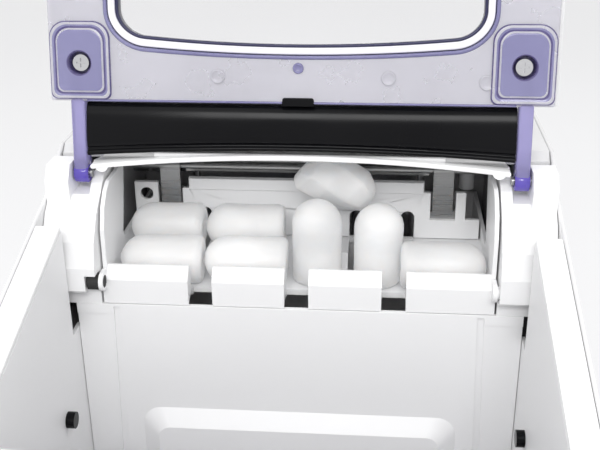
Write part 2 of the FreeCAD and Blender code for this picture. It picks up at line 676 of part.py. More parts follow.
def pusher_plate():
    """White sweep plate with slots that pass the cold fingers."""
    low = STEP_Z + 0.6
    half = PUSHER_HALF
    outline = [(-half, low), (half, low), (half, 9.5), (82.5, 9.5), (82.5, 24.5), (77.5, 24.5), (77.5, 9.0),
               (64.5, 9.0), (64.5, 24.0), (61.0, 24.0), (61.0, 30.0), (-61.0, 30.0), (-61.0, 24.0),
               (-64.5, 24.0), (-64.5, 9.0), (-77.5, 9.0), (-77.5, 27.0), (-half, 27.0)]
    y0 = COMB_Y + RAIL_BACK - 4.0
    plate = prism_y([(x, COMB_Z + z) for x, z in outline], y0, y0 + PUSHER_T)
    for x in finger_lines():
        slot = box(x - SLOT_W / 2, x + SLOT_W / 2, y0 - 1, y0 + PUSHER_T + 1, COMB_Z + low - 1, COMB_Z + 10.0)
        plate = plate.cut(slot).cut(rod(SLOT_W / 2, V(x, y0 - 1, COMB_Z + 10.0), Y_AXIS, PUSHER_T + 2))
    eye = rod(3.4, V(-83.7, y0 - 1, COMB_Z + 20.5), Y_AXIS, PUSHER_T + 2)
    lip = box(-60.5, 60.5, y0 - 1.5, y0 + 0.1, COMB_Z + 24.0, COMB_Z + 30.0)
    return fuse([plate.cut(eye), lip])


def pusher_hangers():
    """Steel leaves: curled round the hinge rod above, screwed behind the plate below."""
    y = COMB_Y + RAIL_BACK
    z = COMB_Z + RAIL_UP
    y0 = y - 4.0 + PUSHER_T
    leaf = box(TONGUE_IN, TONGUE_IN + TONGUE_W, y0 - 1.4, y0 - 0.2, COMB_Z + 11.5, z)
    foot = box(TONGUE_IN - 3.5, TONGUE_IN + TONGUE_W + 3.5, y0, y0 + 1.0, COMB_Z + 1.0, COMB_Z + 13.0)
    bridge = box(TONGUE_IN, TONGUE_IN + TONGUE_W, y0 - 1.4, y0 + 1.0, COMB_Z + 11.5, COMB_Z + 13.0)
    curl = rod(3.0, V(TONGUE_IN, y, z), X_AXIS, TONGUE_W)
    leaf = fuse([leaf, foot, bridge, curl])
    return both(leaf.cut(rod(1.5 + RUN, V(TONGUE_IN - 1, y, z), X_AXIS, TONGUE_W + 2)))


def finger_places():
    places = []
    for row, y in enumerate(FINGER_ROWS):
        count = FINGER_COUNT - row
        for i in range(count):
            places.append(((i - (count - 1) / 2) * FINGER_PITCH, COMB_Y + y))
    return places


def cold_fingers():
    """Plated fingers that the bullets freeze on."""
    top = COMB_Z + 20.0
    low = COMB_Z + BASIN_LOW + 14.0
    fingers = []
    for x, y in finger_places():
        stem = rod(FINGER_R, V(x, y, low + FINGER_R), Z_AXIS, top - low - FINGER_R)
        fingers.append(stem.fuse(Part.makeSphere(FINGER_R, V(x, y, low + FINGER_R))))
    return Part.makeCompound(fingers)


def evaporator():
    """Flat refrigerant head that joins the fingers, hung from the deck by two posts."""
    y0 = COMB_Y + FINGER_ROWS[0] - 8.0
    y1 = COMB_Y + FINGER_ROWS[1] + 8.0
    half = (FINGER_COUNT - 1) / 2 * FINGER_PITCH + 9.0
    head = rounded(box(-half, half, y0, y1, COMB_Z + 20.0, COMB_Z + 32.0), 6.0, Z_AXIS)
    stub = rod(4.0, V(-COMB_HALF - 4.0, (y0 + y1) / 2, COMB_Z + 26.0), X_AXIS, COMB_HALF + 4.0 - half)
    posts = [rod(3.0, V(x, (y0 + y1) / 2, COMB_Z + 32.0), Z_AXIS, MOUTH_H - 2.5 - 32.0) for x in (-50.0, 50.0)]
    return fuse([head, stub] + posts)


def bullet(place, yaw, tilt, r, length):
    """Hollow-ended ice bullet, lying along X before it is turned."""
    body = rod(r, V(-length / 2, 0, 0), X_AXIS, length - r)
    body = body.fuse(Part.makeSphere(r, V(length / 2 - r, 0, 0)))
    body = body.cut(rod(FINGER_R, V(-length / 2 - 1, 0, 0), X_AXIS, 22.0))
    body.rotate(V(0, 0, 0), Y_AXIS, -tilt)
    body.rotate(V(0, 0, 0), Z_AXIS, yaw)
    x, y, z = place
    body.translate(V(x, COMB_Y + y, COMB_Z + z))
    return body


LOW_Z = SHELF_Z + BULLET_R + 0.1            # a bullet lying on the shelf
HIGH_Z = STEP_Z + BULLET_R + 0.05           # and one on its raised half
STAND_Z = SHELF_Z + BULLET_LEN / 2 + 0.05
MELTED_R = 10.2                             # a bullet that has begun to melt
# place from the comb's crease, yaw, tilt, radius and length
BULLETS = [((-68.2, 20.0, LOW_Z), 181.0, 0.0, BULLET_R, BULLET_LEN),
           ((-26.4, 20.0, LOW_Z), 179.0, 0.0, BULLET_R, BULLET_LEN),
           ((-69.3, 43.2, HIGH_Z), 180.5, 0.0, BULLET_R, BULLET_LEN - 3.4),
           ((-29.2, 43.4, HIGH_Z), 180.0, 0.0, BULLET_R, BULLET_LEN - 0.6),
           ((8.3, 25.7, STAND_Z + 0.8), 90.0, 90.0, BULLET_R + 0.3, BULLET_LEN + 1.6),
           ((38.3, 25.2, STAND_Z), 90.0, 90.0, BULLET_R, BULLET_LEN),
           ((69.8, 20.1, LOW_Z), 1.0, 0.0, BULLET_R, BULLET_LEN),
           ((17.0, 43.3, 35.2), 180.0, 0.0, MELTED_R, BULLET_LEN)]


def ice_bullets():
    """Last batch, dropped on the tray's shelf."""
    return Part.makeCompound([bullet(*values) for values in BULLETS])


# ---- cooling and water ----
def compressor():
    """Sealed can with a flange at mid height, on a three-footed plate."""
    x, y = COMPRESSOR_X, COMPRESSOR_Y
    low = PAN_TOP + 9.0
    high = CHAMBER_FLOOR - 12.0
    can = rod(COMPRESSOR_R, V(x, y, low), Z_AXIS, high - low)
    rim = [e for e in can.Edges if abs(e.CenterOfMass.z - high) < 0.1 and isinstance(e.Curve, Part.Circle)]
    can = can.makeFillet(14.0, rim)
    seam = rod(COMPRESSOR_R + 2.0, V(x, y, (low + high) / 2), Z_AXIS, 4.0)
    plate = box(x - 42.0, x + 42.0, y - 36.0, y + 36.0, low - 2.0, low + 0.1)
    plate = rounded(plate, 8.0, Z_AXIS)
    for gx, gy in grommet_places():
        plate = plate.cut(rod(3.0, V(gx, gy, low - 4), Z_AXIS, 6.0))
        can = can.cut(rod(6.5, V(gx, gy, low), Z_AXIS, 6.0))
    return fuse([can, seam, plate])


COMPRESSOR_X = -38.0
COMPRESSOR_Y = COMB_Y + 57.0


def grommet_places():
    return [(COMPRESSOR_X + sx * 35.0, COMPRESSOR_Y + sy * 29.0) for sx in (-1, 1) for sy in (-1, 1)]


def compressor_mounts():
    """Rubber grommets under the compressor's plate."""
    mounts = []
    for x, y in grommet_places():
        body = rod(6.0, V(x, y, PAN_TOP), Z_AXIS, 7.0)
        mounts.append(body.fuse(rod(2.9, V(x, y, PAN_TOP + 7.0), Z_AXIS, 3.5)))
    return Part.makeCompound(mounts)


CONDENSER_T = 18.0
CONDENSER_HALF = 76.0
SHROUD_Y = CHAMBER_BACK + 3.0 + CONDENSER_T + 0.5


def condenser():
    """Fin pack on serpentine tube."""
    y0 = CHAMBER_BACK + 3.0
    y1 = y0 + CONDENSER_T
    low = PAN_TOP + 4.0
    high = FAN_Z + FAN_R + 8.0
    mid = (y0 + y1) / 2
    pieces = []
    count = 19
    for i in range(count):
        x = -CONDENSER_HALF + 2 * CONDENSER_HALF * i / (count - 1)
        pieces.append(box(x - 0.5, x + 0.5, y0, y1, low, high))
    rows = 6
    for i in range(rows):
        z = low + (high - low) * (i + 0.5) / rows
        pieces.append(rod(3.5, V(-CONDENSER_HALF - 4.0, mid, z), X_AXIS, 2 * CONDENSER_HALF + 8.0))
    return fuse(pieces)


def fan_shroud():
    """Square frame with a round mouth and three arms that hold the motor."""
    y0 = SHROUD_Y
    depth = 24.0
    half = FAN_R + 8.0
    frame = rounded(box(-half, half, y0, y0 + depth, FAN_Z - half, FAN_Z + half), 8.0, Y_AXIS)
    frame = frame.cut(rod(FAN_R + 2.5, V(0, y0 - 1, FAN_Z), Y_AXIS, depth + 2))
    arms = []
    for i in range(3):
        arm = box(-3.0, 3.0, y0 + depth - 3.0, y0 + depth, FAN_Z + 17.5, FAN_Z + FAN_R + 4.0)
        arm.rotate(V(0, 0, FAN_Z), Y_AXIS, 120.0 * i)
        arms.append(arm)
    arms.append(ring(19.0, 16.0 + 0.02, V(0, y0 + depth - 3.0, FAN_Z), Y_AXIS, 6.0))
    legs = [box(x - 4.0, x + 4.0, y0 + 2.0, y0 + depth - 2.0, PAN_TOP, FAN_Z - half + 0.1)
            for x in (-half + 8.0, half - 8.0)]
    return fuse([frame] + arms + legs)


def fan_motor():
    y0 = SHROUD_Y + 21.0
    can = rod(16.0, V(0, y0, FAN_Z), Y_AXIS, 17.0)
    shaft = rod(1.5, V(0, y0 - 14.0, FAN_Z), Y_AXIS, 14.0)
    return can.fuse(shaft)


def fan_blade():
    """Five pitched blades on a cup hub."""
    y0 = SHROUD_Y + 6.0
    hub = rod(14.0, V(0, y0, FAN_Z), Y_AXIS, 13.0)
    blades = []
    count = 5
    for i in range(count):
        blade = box(-15.0, 15.0, -0.8, 0.8, 12.0, FAN_R - 1.0)
        blade.rotate(V(0, 0, 0), Z_AXIS, 28.0)
        blade.translate(V(0, y0 + 6.5, FAN_Z))
        blade.rotate(V(0, 0, FAN_Z), Y_AXIS, 360.0 * i / count)
        blades.append(blade.common(rod(FAN_R, V(0, y0 - 4, FAN_Z), Y_AXIS, 22.0)))
    fan = fuse([hub] + blades)
    return fan.cut(rod(1.5 + RUN, V(0, y0 - 20, FAN_Z), Y_AXIS, 40.0))


def filter_drier():
    """Copper drier standing beside the compressor."""
    x, y = 26.0, COMB_Y + 90.0
    body = rod(8.0, V(x, y, PAN_TOP + 10.0), Z_AXIS, 60.0)
    ends = [Part.makeCone(3.0, 8.0, 8.0, V(x, y, PAN_TOP + 2.0)),
            Part.makeCone(8.0, 3.0, 8.0, V(x, y, PAN_TOP + 70.0))]
    clip = box(x - 4.0, x + 4.0, y - 10.0, y + 10.0, PAN_TOP, PAN_TOP + 14.0)
    return fuse([body, clip] + ends)


def hot_gas_valve():
    """Solenoid valve that warms the fingers to drop the ice."""
    x, y = 70.0, COMB_Y + 88.0
    coil = rounded(box(x - 13.0, x + 13.0, y - 12.0, y + 12.0, PAN_TOP + 24.0, PAN_TOP + 52.0), 4.0, Z_AXIS)
    core = rod(6.0, V(x, y, PAN_TOP), Z_AXIS, 62.0)
    return coil.fuse(core)


def pipe(points, radius):
    """Tube of straight runs joined by tangent arcs."""
    edges = []
    last = points[0]
    for i in range(1, len(points) - 1):
        a, b, c = points[i - 1], points[i], points[i + 1]
        u = (a - b).normalize()
        w = (c - b).normalize()
        turn = math.pi - u.getAngle(w)
        reach = 0.45 * min((a - b).Length, (c - b).Length)
        bend = reach / math.tan(turn / 2)
        centre = b + (u + w).normalize() * math.hypot(bend, reach)
        start = b + u * reach
        end = b + w * reach
        middle = centre + (b - centre).normalize() * bend
        edges.append(Part.LineSegment(last, start).toShape())
        edges.append(Part.Arc(start, middle, end).toShape())
        last = end
    edges.append(Part.LineSegment(last, points[-1]).toShape())
    path = Part.Wire(edges)
    first = (points[1] - points[0]).normalize()
    ring_wire = Part.Wire(Part.makeCircle(radius, points[0], first))
    return path.makePipeShell([ring_wire], True, False)


def refrigerant_pipe():
    """Copper line from the compressor up the chamber's left side to the evaporator's stub."""
    x = -(COMB_HALF + 4.0 + LINER_T + 8.0)
    low = PAN_TOP + 50.0
    start = V(COMPRESSOR_X - math.sqrt(COMPRESSOR_R ** 2 - 64.0) - FIT, COMPRESSOR_Y + 8.0, low)
    points = [start, V(x, COMPRESSOR_Y + 8.0, low), V(x, PIPE_Y, low + 40.0), V(x, PIPE_Y, PIPE_Z),
              V(-COMB_HALF - 4.0, PIPE_Y, PIPE_Z)]
    return pipe(points, PIPE_R)


def water_pump():
    """Pump scroll with its motor on top, on the base pan."""
    x, y = PUMP_X, PUMP_Y
    scroll = ring(PUMP_R, PUMP_R - 3.0, V(x, y, PAN_TOP), Z_AXIS, 14.0)
    floor = rod(PUMP_R, V(x, y, PAN_TOP), Z_AXIS, 2.0)
    roof = ring(PUMP_R, 2.0 + RUN, V(x, y, PAN_TOP + 14.0), Z_AXIS, 2.0)
    motor = rod(12.0, V(x, y, PAN_TOP + 18.0), Z_AXIS, 28.0)
    neck = ring(6.0, 2.0 + RUN, V(x, y, PAN_TOP + 15.9), Z_AXIS, 2.2)
    outlet = rod(4.0, V(x + PUMP_R - 4.0, y, PAN_TOP + 8.0), X_AXIS, 9.0)
    return fuse([scroll, floor, roof, neck, motor, outlet])


PUMP_X = 66.0
PUMP_Y = COMB_Y + 34.0


def pump_impeller():
    x, y = PUMP_X, PUMP_Y
    z = PAN_TOP + 4.0
    disc = rod(PUMP_R - 5.0, V(x, y, z), Z_AXIS, 2.0)
    vanes = []
    for i in range(6):
        vane = box(1.0, PUMP_R - 5.5, -0.7, 0.7, z + 1.0, z + 7.0)
        vane.rotate(V(0, 0, 0), Z_AXIS, 60.0 * i)
        vane.translate(V(x, y, 0))
        vanes.append(vane)
    shaft = rod(2.0, V(x, y, z), Z_AXIS, 14.0)
    return fuse([disc, shaft] + vanes)


def water_hose():
    """Silicone hose from the pump, up the chamber's right side, to the filling spout."""
    x = COMB_HALF + 4.0 + LINER_T + 9.0
    points = [V(PUMP_X + PUMP_R + 5.0, PUMP_Y, PAN_TOP + 8.0), V(x, PUMP_Y, PAN_TOP + 8.0),
              V(x, PUMP_Y + 30.0, PAN_TOP + 60.0), V(x, HOSE_Y, PAN_TOP + 110.0), V(x, HOSE_Y, HOSE_Z),
              V(COMB_HALF + 4.0 + LINER_T, HOSE_Y, HOSE_Z)]
    return pipe(points, HOSE_R)


def fill_spout():
    """Elbow that passes the chamber's wall and drips into the basin."""
    x0 = COMB_HALF - 8.0
    across = rod(HOSE_R, V(x0, HOSE_Y, HOSE_Z), X_AXIS, COMB_HALF + 4.0 + LINER_T - x0)
    down = rod(HOSE_R, V(x0, HOSE_Y, HOSE_Z - 18.0), Z_AXIS, 18.0)
    knee = Part.makeSphere(HOSE_R, V(x0, HOSE_Y, HOSE_Z))
    return fuse([across, down, knee])


def drain_spout():
    y0 = -HALF_D + 9.0
    y1 = BAY_FRONT
    tube_out = DRAIN_BORE_R + 3.0
    pipe_part = ring(tube_out, DRAIN_BORE_R, V(DRAIN_X, y0, DRAIN_Z), Y_AXIS, y1 - y0)
    flange = ring(tube_out + 2.5, DRAIN_BORE_R, V(DRAIN_X, BAY_FRONT - LINER_T - 2.2, DRAIN_Z), Y_AXIS, 2.0)
    return fuse([pipe_part, flange])


def drain_plug():
    """Rubber bung in the drain spout, flush in the casing's front."""
    y0 = -HALF_D + 9.0
    stem = rod(DRAIN_BORE_R - RUN, V(DRAIN_X, y0, DRAIN_Z), Y_AXIS, 16.0)
    head = rod(DRAIN_CAP_R, V(DRAIN_X, y0 - 6.0, DRAIN_Z), Y_AXIS, 6.0)
    grip = box(DRAIN_X - 7.0, DRAIN_X + 7.0, y0 - 9.0, y0 - 5.9, DRAIN_Z - 1.5, DRAIN_Z + 1.5)
    return fuse([stem, head, grip])


FLOAT_X = -84.0
FLOAT_Y = BAY_FRONT + 22.0


def float_switch():
    """Level sensor's stem in the reservoir, with its stop cap."""
    stem = rod(2.5, V(FLOAT_X, FLOAT_Y, TUB_FLOOR), Z_AXIS, 34.0)
    foot = rod(6.0, V(FLOAT_X, FLOAT_Y, TUB_FLOOR), Z_AXIS, 3.0)
    cap = rod(5.0, V(FLOAT_X, FLOAT_Y, TUB_FLOOR + 32.0), Z_AXIS, 2.0)
    return fuse([stem, foot, cap])


def float_ring():
    return ring(9.0, 2.5 + 0.3, V(FLOAT_X, FLOAT_Y, TUB_FLOOR + 3.0), Z_AXIS, 14.0)


def bin_sensors():
    """Infrared eyes that see a full basket, one each side of the bay."""
    eye = rod(4.0, V(BAY_HALF - 4.0, COMB_Y - 30.0, COMB_Z - 60.0), X_AXIS, 4.0)
    return both(eye)


# ---- basket ----
def ice_basket():
    """Lift-out basket with drain slots in its floor."""
    half = BAY_HALF - 6.0
    y0 = BAY_FRONT + 4.0
    y1 = COMB_Y - 9.5
    high = COMB_Z - BASKET_TOP_UNDER
    outside = rounded(box(-half, half, y0, y1, BASKET_FLOOR, high), 12.0, Z_AXIS)
    w = BASKET_WALL
    inside = rounded(box(-half + w, half - w, y0 + w, y1 - w, BASKET_FLOOR + w, high + 1), 10.0, Z_AXIS)
    basket = outside.cut(inside)
    slots = []
    rows = 4
    for i in range(9):
        x = (i - 4) * 20.0
        for j in range(rows):
            y = y0 + (y1 - y0) * (j + 0.5) / rows
            slots.append(box(x - 7.0, x + 7.0, y - 2.0, y + 2.0, BASKET_FLOOR - 1, BASKET_FLOOR + w + 1))
    basket = basket.cut(Part.makeCompound(slots))
    lip = box(-30.0, 30.0, y0 - 3.0, y0 + w, high - 3.0, high)
    return fuse([basket, rounded(lip, 2.0, Z_AXIS, lambda c: c.y < y0 - 2)])


# ---- lid, built upright: Y is out of the lid, Z is along it, then leaned back ----
def lean(shape):
    placed = shape.copy()
    placed.rotate(V(0, 0, 0), X_AXIS, -LID_LEAN)
    placed.translate(V(0, HINGE_Y, HINGE_Z))
    return placed


LINER_EDGE = 34.5         # liner's lower edge along the lid
WINDOW_X = 84.7
WINDOW_FROM = 58.0
WINDOW_TO = 138.0
WINDOW_R = 14.0
WINDOW_T = 2.0
SCREW_X = 101.3
SCREW_ALONG = (52.0, 140.0)
SCREW_R = 2.0
PAD_R = 9.0
WELL_R = 6.2              # well round each screw head
WELL_DEEP = 3.5


def lid_block(half, y0, y1, z0, z1, radius):
    return rounded(box(-half, half, y0, y1, z0, z1), radius, Y_AXIS)


def lid_cover():
    """Outer skin of the lid with a turned-in edge and the window's opening."""
    half = LID_HALF
    y1 = COVER_IN + COVER_T
    skin = rounded(box(-half, half, COVER_IN, y1, LINER_EDGE, LID_LEN), 12.0, Y_AXIS,
                   lambda c: c.z > LID_LEN - 2)
    edge = rounded(box(-half, half, 2.0, COVER_IN + 0.1, LINER_EDGE, LID_LEN), 12.0, Y_AXIS,
                   lambda c: c.z > LID_LEN - 2)
    core = rounded(box(-half + 2.0, half - 2.0, 1.0, COVER_IN + 1, LINER_EDGE - 1, LID_LEN - 2.0), 10.0, Y_AXIS,
                   lambda c: c.z > LID_LEN - 4)
    tail = box(-STRIP_HALF, STRIP_HALF, COVER_IN, y1, 8.5, LINER_EDGE + 1)
    skin = fuse([skin, edge.cut(core), tail])
    hole = lid_block(WINDOW_X + 2.0, COVER_IN - 1, y1 + 1, WINDOW_FROM - 2.0, WINDOW_TO + 2.0, WINDOW_R + 2.0)
    return lean(skin.cut(hole))


def lid_liner():
    """Clear tinted inner panel: window frame, corner pads and the two hinge arms."""
    half = LID_HALF - 2.0 - FIT
    y0 = LINER_IN
    t = 2.5
    high = LID_LEN - 2.0 - FIT
    sheet = rounded(box(-half, half, y0, y0 + t, LINER_EDGE, high), 9.5, Y_AXIS, lambda c: c.z > high - 1)
    hole = lid_block(WINDOW_X + 2.5, y0 - 1, y0 + t + 1, WINDOW_FROM - 2.5, WINDOW_TO + 2.5, WINDOW_R + 2.5)
    notch = box(-9.5, 9.5, y0 - 1, y0 + t + 1, LINER_EDGE - 1, LINER_EDGE + 4.0)
    sheet = sheet.cut(hole).cut(notch)
    pieces = [sheet]
    for x in (-SCREW_X, SCREW_X):
        for z in SCREW_ALONG:
            pieces.append(rod(PAD_R, V(x, y0, z), Y_AXIS, COVER_IN - y0 - 0.1))
    arm = box(ARM_X, ARM_X + ARM_W, y0, 5.0, 3.0, LINER_EDGE + 8.0)
    barrel = rod(BARREL_R, V(ARM_X, 0, 0), X_AXIS, ARM_W)
    web = box(ARM_X, ARM_X + ARM_W, y0, BARREL_R - 0.5, 0, 5.0)
    for piece in (arm, barrel, web):
        pieces += [piece, mirrored(piece)]
    liner = fuse(pieces)
    for x in (-SCREW_X, SCREW_X):
        for z in SCREW_ALONG:
            liner = liner.cut(rod(WELL_R, V(x, y0 - 1, z), Y_AXIS, WELL_DEEP + 1))
            liner = liner.cut(rod(SCREW_R + 0.1, V(x, y0, z), Y_AXIS, COVER_IN - y0 + 1))
    bore = rod(HINGE_PIN_R + RUN, V(-INNER, 0, 0), X_AXIS, 2 * INNER)
    return lean(liner.cut(bore))


def lid_window():
    """Clear pane between liner and cover."""
    pane = lid_block(WINDOW_X, LINER_IN + 4.0, LINER_IN + 4.0 + WINDOW_T, WINDOW_FROM, WINDOW_TO, WINDOW_R)
    return lean(pane)


def window_seal():
    """Bead round the pane that fills the liner's opening and holds the pane."""
    y0 = LINER_IN - 0.6
    y1 = LINER_IN + 6.8
    outer = lid_block(WINDOW_X + 2.3, y0, y1, WINDOW_FROM - 2.3, WINDOW_TO + 2.3, WINDOW_R + 2.3)
    slot = lid_block(WINDOW_X + 0.1, LINER_IN + 3.9, LINER_IN + 4.1 + WINDOW_T, WINDOW_FROM - 0.1,
                     WINDOW_TO + 0.1, WINDOW_R + 0.1)
    hole = lid_block(WINDOW_X - 2.0, y0 - 1, y1 + 1, WINDOW_FROM + 2.0, WINDOW_TO - 2.0, WINDOW_R - 2.0)
    return lean(outer.cut(slot).cut(hole))


def lid_beam():
    """Gloss black cross beam, crowned at the middle, with a rib along its lower edge."""
    half = ARM_X - 0.4
    body = arch_band(half, BEAM_FROM, BEAM_TO, LINER_IN + 1.0, COVER_IN - 0.1, ARCH)
    body = body.cut(box(-half - 1, half + 1, -20, 20, BEAM_TO, BEAM_TO + 20))
    rib = arch_band(half, BEAM_FROM, BEAM_FROM + 2.2, LINER_IN - 0.4, LINER_IN + 1.2, ARCH)
    return lean(fuse([body, rib]))


def beam_tab():
    """Black moulded tab of the beam in the liner's notch."""
    tab = box(-7.0, 7.0, LINER_IN + 0.2, LINER_IN + 3.0, BEAM_TO, BEAM_TO + 3.2)
    return lean(tab)


def lid_screws():
    """Cross-head screws through the liner's corner pads."""
    screws = []
    for x in (-SCREW_X, SCREW_X):
        for z in SCREW_ALONG:
            y0 = LINER_IN + WELL_DEEP
            head = rod(3.8, V(x, y0 - 2.0, z), Y_AXIS, 2.0)
            shank = rod(SCREW_R, V(x, y0, z), Y_AXIS, COVER_IN - y0 - 0.05)
            cross = fuse([box(x - 2.2, x + 2.2, y0 - 2.1, y0 - 1.0, z - 0.4, z + 0.4),
                          box(x - 0.4, x + 0.4, y0 - 2.1, y0 - 1.0, z - 2.2, z + 2.2)])
            screws.append(head.fuse(shank).cut(cross))
    return lean(Part.makeCompound(screws))


def build():
    """Every sub-part by node name."""
    nodes = {
        "outer_shell": outer_shell(), "base_pan": base_pan(), "feet": feet(), "rear_panel": rear_panel(),
        "power_inlet": power_inlet(), "rear_deck": rear_deck(), "mouth_strip": mouth_strip(),
        "bay_frame": bay_frame(), "bin_tub": bin_tub(), "tub_feet": tub_feet(), "insulation": insulation(),
        "divider_panel": divider_panel(), "cheek_right": cheek_right(), "cheek_left": cheek_left(),
        "lid_hinge_pins": lid_hinge_pins(), "chamber": chamber(), "control_panel": control_panel(),
        "display_window": display_window(), "control_board": control_board(),
        "indicator_lights": indicator_lights(), "water_tray": water_tray(), "pivot_bush": pivot_bush(),
        "drive_shaft": drive_shaft(), "gear_motor": gear_motor(), "hanger_rail": hanger_rail(),
        "pusher_plate": pusher_plate(), "pusher_hangers": pusher_hangers(), "cold_fingers": cold_fingers(),
        "evaporator": evaporator(), "ice_bullets": ice_bullets(), "compressor": compressor(),
        "compressor_mounts": compressor_mounts(), "condenser": condenser(), "fan_shroud": fan_shroud(),
        "fan_motor": fan_motor(), "fan_blade": fan_blade(), "filter_drier": filter_drier(),
        "hot_gas_valve": hot_gas_valve(), "refrigerant_pipe": refrigerant_pipe(), "water_pump": water_pump(),
        "pump_impeller": pump_impeller(), "water_hose": water_hose(), "fill_spout": fill_spout(),
        "drain_spout": drain_spout(), "drain_plug": drain_plug(), "float_switch": float_switch(),
        "float_ring": float_ring(), "bin_sensors": bin_sensors(), "ice_basket": ice_basket(),
        "lid_cover": lid_cover(), "lid_liner": lid_liner(), "lid_window": lid_window(),
        "window_seal": window_seal(), "lid_beam": lid_beam(), "beam_tab": beam_tab(), "lid_screws": lid_screws(),
    }
    for name, x in BUTTONS.items():
        nodes[name] = button(x)
    return nodes


def middle_of(nodes):
    """Offset that puts the whole object's box centre over the origin."""
    box_all = FreeCAD.BoundBox()
    for shape in nodes.values():
        box_all.add(shape.optimalBoundingBox(False))
    return V(-(box_all.XMin + box_all.XMax) / 2, -(box_all.YMin + box_all.YMax) / 2, 0)


def main():
    os.makedirs("parts", exist_ok=True)
    nodes = build()
    move = middle_of(nodes)
    for name, shape in nodes.items():
        placed = shape.copy()
        placed.translate(move)
        placed.exportStep(os.path.join("parts", name + ".step"))
    print(len(nodes), "nodes, offset", move)


if __name__ == "__main__":
    main()
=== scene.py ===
import json
import math

import bmesh
import bpy
from mathutils import Matrix, Vector
from mathutils.noise import noise as noise_at


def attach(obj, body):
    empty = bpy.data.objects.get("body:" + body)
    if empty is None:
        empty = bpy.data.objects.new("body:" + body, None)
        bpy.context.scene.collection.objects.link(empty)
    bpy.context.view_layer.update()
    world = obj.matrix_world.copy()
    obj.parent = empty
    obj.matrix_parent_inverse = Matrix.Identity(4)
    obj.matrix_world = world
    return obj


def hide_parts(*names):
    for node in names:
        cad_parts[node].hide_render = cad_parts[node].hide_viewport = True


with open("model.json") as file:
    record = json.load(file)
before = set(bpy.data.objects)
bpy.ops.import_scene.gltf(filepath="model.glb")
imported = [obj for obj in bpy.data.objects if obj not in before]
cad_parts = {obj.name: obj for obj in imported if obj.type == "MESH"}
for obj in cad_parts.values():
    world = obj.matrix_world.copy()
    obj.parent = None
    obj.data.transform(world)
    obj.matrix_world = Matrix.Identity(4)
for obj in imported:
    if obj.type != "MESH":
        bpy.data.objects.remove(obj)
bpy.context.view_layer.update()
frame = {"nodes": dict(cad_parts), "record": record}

MM = 0.001

# The comb's crease, just behind and under the tray's pivot, is where the view is measured from.
JOINTS = {j["name"]: j for j in frame["record"]["behaviour"]["joints"]}
PIVOT = Vector(JOINTS["tray_tilt"]["pos_m"])
CREASE = PIVOT + Vector((0, 2.5 * MM, -0.5 * MM))
HINGE = Vector(JOINTS["lid_hinge"]["pos_m"])
LEAN = math.radians(11.0)
FLOOR_Z = 0.0


# ---- camera and light ----
def make_camera():
    """Close view down into the open front, a little from the right."""
    yaw, pitch, roll = (math.radians(a) for a in (5.03, 23.84, -0.64))
    ahead = Vector((-math.sin(yaw) * math.cos(pitch), math.cos(yaw) * math.cos(pitch), -math.sin(pitch)))
    right = Vector((math.cos(yaw), math.sin(yaw), 0))
    up = right.cross(ahead)
    turned_right = right * math.cos(roll) + up * math.sin(roll)
    turned_up = up * math.cos(roll) - right * math.sin(roll)
    data = bpy.data.cameras.new("camera")
    data.lens = 57.46
    data.sensor_width = 36.0
    data.clip_start = 0.01
    camera = bpy.data.objects.new("camera", data)
    turn = Matrix((turned_right, turned_up, -ahead)).transposed().to_4x4()
    camera.matrix_world = Matrix.Translation(CREASE + Vector((0.0374, -0.3990, 0.2081))) @ turn
    bpy.context.collection.objects.link(camera)
    bpy.context.scene.camera = camera


def area_light(name, place, aim, size, power, colour=(1, 1, 1)):
    data = bpy.data.lights.new(name, "AREA")
    data.shape = "RECTANGLE"
    data.size, data.size_y = size
    data.energy = power
    data.color = colour
    light = bpy.data.objects.new(name, data)
    light.location = place
    light.rotation_mode = "QUATERNION"
    light.rotation_quaternion = (Vector(aim) - Vector(place)).to_track_quat("-Z", "Y")
    bpy.context.collection.objects.link(light)


def make_light():
    scene = bpy.context.scene
    scene.view_settings.view_transform = "Standard"
    world = bpy.data.worlds.new("studio")
    world.use_nodes = True
    sky = world.node_tree.nodes["Background"]
    sky.inputs["Color"].default_value = (1.0, 1.0, 1.0, 1)
    sky.inputs["Strength"].default_value = 0.93
    scene.world = world
    area_light("key", (-0.55, -0.75, 1.25), CREASE, (0.9, 0.7), 1.3)
    area_light("front", CREASE + Vector((0.05, -0.95, 0.75)), CREASE, (0.7, 0.28), 5.6)
    area_light("back", (0.1, 0.9, 1.1), HINGE, (1.2, 0.5), 1.5)


def make_floor():
    bpy.ops.mesh.primitive_plane_add(size=8, location=(0, 0, FLOOR_Z))
    floor = bpy.context.object
    floor.name = "floor"
    paint, tree = new_material("floor_paint", (0.86, 0.86, 0.87), 0.6)
    floor.data.materials.append(paint)


# ---- materials ----
def new_material(name, colour, roughness, **inputs):
    paint = bpy.data.materials.new(name)
    paint.use_nodes = True
    shader = paint.node_tree.nodes["Principled BSDF"]
    shader.inputs["Base Color"].default_value = (*colour[:3], 1)
    shader.inputs["Roughness"].default_value = roughness
    for label, value in inputs.items():
        shader.inputs[label.replace("_", " ")].default_value = value
    return paint, paint.node_tree


def noise(tree, scale, detail=4.0, stretch=(1, 1, 1)):
    """Noise in the object's own metres, so it keeps its scale from piece to piece."""
    coords = tree.nodes.new("ShaderNodeTexCoord")
    mapping = tree.nodes.new("ShaderNodeMapping")
    mapping.inputs["Scale"].default_value = stretch
    texture = tree.nodes.new("ShaderNodeTexNoise")
    texture.inputs["Scale"].default_value = scale
    texture.inputs["Detail"].default_value = detail
    tree.links.new(coords.outputs["Object"], mapping.inputs["Vector"])
    tree.links.new(mapping.outputs["Vector"], texture.inputs["Vector"])
    return texture.outputs["Fac"]


